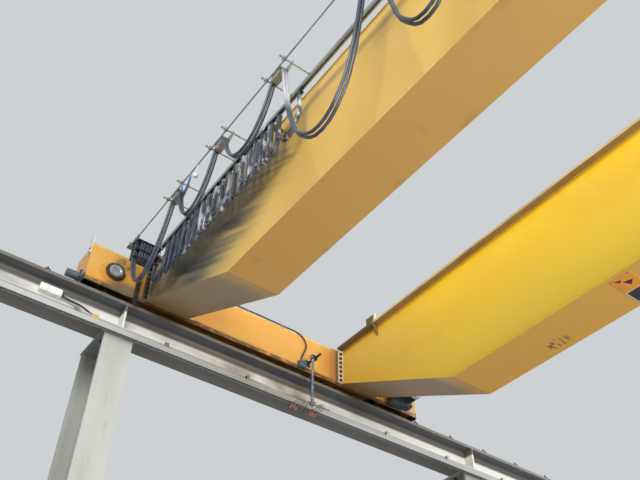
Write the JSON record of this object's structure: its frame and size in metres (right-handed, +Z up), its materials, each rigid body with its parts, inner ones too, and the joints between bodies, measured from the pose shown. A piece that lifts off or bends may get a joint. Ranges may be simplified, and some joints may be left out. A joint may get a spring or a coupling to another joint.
{
  "type": "overhead bridge crane",
  "caption": "Double-girder overhead bridge crane on a column-borne runway, with end trucks on rails, a cable festoon along one girder, a current collector and a hoist crab",
  "frame": {"origin": "on the ground, under the centre of the runway's plan", "axes": "+X across the span to the right, +Y along the runway to the back, +Z up"},
  "size_m": [19.184, 15.53, 8.0525],
  "materials": {
    "column_paint": "matte pale grey paint, scuffed",
    "beam_paint": "grey paint with dirt",
    "rail_steel": "worn rolled steel",
    "stop_paint": "semi-gloss yellow paint",
    "conductor_housing": "matte grey plastic",
    "hanger_steel": "galvanised steel",
    "box_plastic": "matte light grey plastic",
    "cable_rubber": "matte black rubber sheath",
    "front_girder_paint": "semi-gloss yellow paint, dusty",
    "back_girder_paint": "semi-gloss yellow paint",
    "ledge_paint": "dusty tan-yellow paint",
    "crab_stop_paint": "dusty yellow paint",
    "truck_paint": "semi-gloss orange-yellow paint",
    "housing_iron": "greasy dark cast iron",
    "cover_steel": "brushed grey steel",
    "buffer_rubber": "pale blue-white buffer rubber",
    "dark_steel": "matte black paint",
    "drive_paint": "semi-gloss dark grey-blue paint",
    "white_plate": "matte white sheet",
    "track_steel": "galvanised steel",
    "trolley_steel": "worn galvanised steel",
    "flat_cable_sheath": "matte grey rubber sheath",
    "carrier_plastic": "matte black plastic",
    "collector_paint": "grey-blue paint",
    "shoe_copper": "worn copper",
    "collector_box_plastic": "matte blue-grey plastic",
    "sign_paint": "orange paint",
    "wheel_steel": "worn forged steel",
    "crab_paint": "semi-gloss yellow paint",
    "drum_steel": "greased steel",
    "rope_steel": "greased wire rope",
    "hook_paint": "yellow paint"
  },
  "bodies": {
    "runway": {"left_columns": "column_paint", "right_columns": "column_paint", "left_runway_beam": "beam_paint", "right_runway_beam": "beam_paint", "left_crane_rail": "rail_steel", "right_crane_rail": "rail_steel", "end_stops": "stop_paint", "conductor_rail": "conductor_housing", "conductor_hangers": "hanger_steel", "feed_box": "box_plastic", "feed_cable": "cable_rubber"},
    "bridge": {"front_girder": "front_girder_paint", "back_girder": "back_girder_paint", "crab_rails": "rail_steel", "crab_rail_ledges": "ledge_paint", "crab_stops": "crab_stop_paint", "left_end_truck": "truck_paint", "right_end_truck": "truck_paint", "bearing_housings": "housing_iron", "axle_covers": "cover_steel", "truck_buffers": "buffer_rubber", "rail_guards": "dark_steel", "rail_sweepers": "dark_steel", "travel_drives": "drive_paint", "limit_plate": "white_plate", "festoon_track": "track_steel", "festoon_brackets": "track_steel", "cable_trolleys": "trolley_steel", "cable_carriers": "carrier_plastic", "festoon_cables": "cable_rubber", "flat_cables": "flat_cable_sheath", "tow_arm": "track_steel", "collector_bracket": "dark_steel", "collector_arm": "collector_paint", "collector_carriage": "collector_paint", "collector_shoes": "shoe_copper", "collector_box": "collector_box_plastic", "collector_cable": "cable_rubber", "sign_plate": "sign_paint", "crab_side_beams": "crab_paint", "crab_cross_beams": "crab_paint", "crab_wheels": "wheel_steel", "hoist_drum": "drum_steel", "hoist_drive": "drive_paint", "hoist_ropes": "rope_steel", "hook_block": "hook_paint"},
    "front_left_wheel_body": {"front_left_wheel": "wheel_steel"},
    "back_left_wheel_body": {"back_left_wheel": "wheel_steel"},
    "front_right_wheel_body": {"front_right_wheel": "wheel_steel"},
    "back_right_wheel_body": {"back_right_wheel": "wheel_steel"}
  },
  "joints": [
    {"name": "bridge_travel", "type": "slide", "parent": "runway", "child": "bridge", "axis": [0, 1, 0], "range_m": [-4.18, 5.72]},
    {"name": "front_left_wheel_spin", "type": "hinge", "parent": "bridge", "child": "front_left_wheel_body", "pos_m": [-9, -2.726, 6.8405], "axis": [1, 0, 0], "range_deg": [-1700, 1260]},
    {"name": "back_left_wheel_spin", "type": "hinge", "parent": "bridge", "child": "back_left_wheel_body", "pos_m": [-9, 1.178, 6.8405], "axis": [1, 0, 0], "range_deg": [-1700, 1260]},
    {"name": "front_right_wheel_spin", "type": "hinge", "parent": "bridge", "child": "front_right_wheel_body", "pos_m": [9, -2.726, 6.8405], "axis": [1, 0, 0], "range_deg": [-1700, 1260]},
    {"name": "back_right_wheel_spin", "type": "hinge", "parent": "bridge", "child": "back_right_wheel_body", "pos_m": [9, 1.178, 6.8405], "axis": [1, 0, 0], "range_deg": [-1700, 1260]}
  ],
  "couplings": [
    {"joint": "front_left_wheel_spin", "follows": "bridge_travel", "rad_per_m": -5},
    {"joint": "back_left_wheel_spin", "follows": "bridge_travel", "rad_per_m": -5},
    {"joint": "front_right_wheel_spin", "follows": "bridge_travel", "rad_per_m": -5},
    {"joint": "back_right_wheel_spin", "follows": "bridge_travel", "rad_per_m": -5}
  ]
}
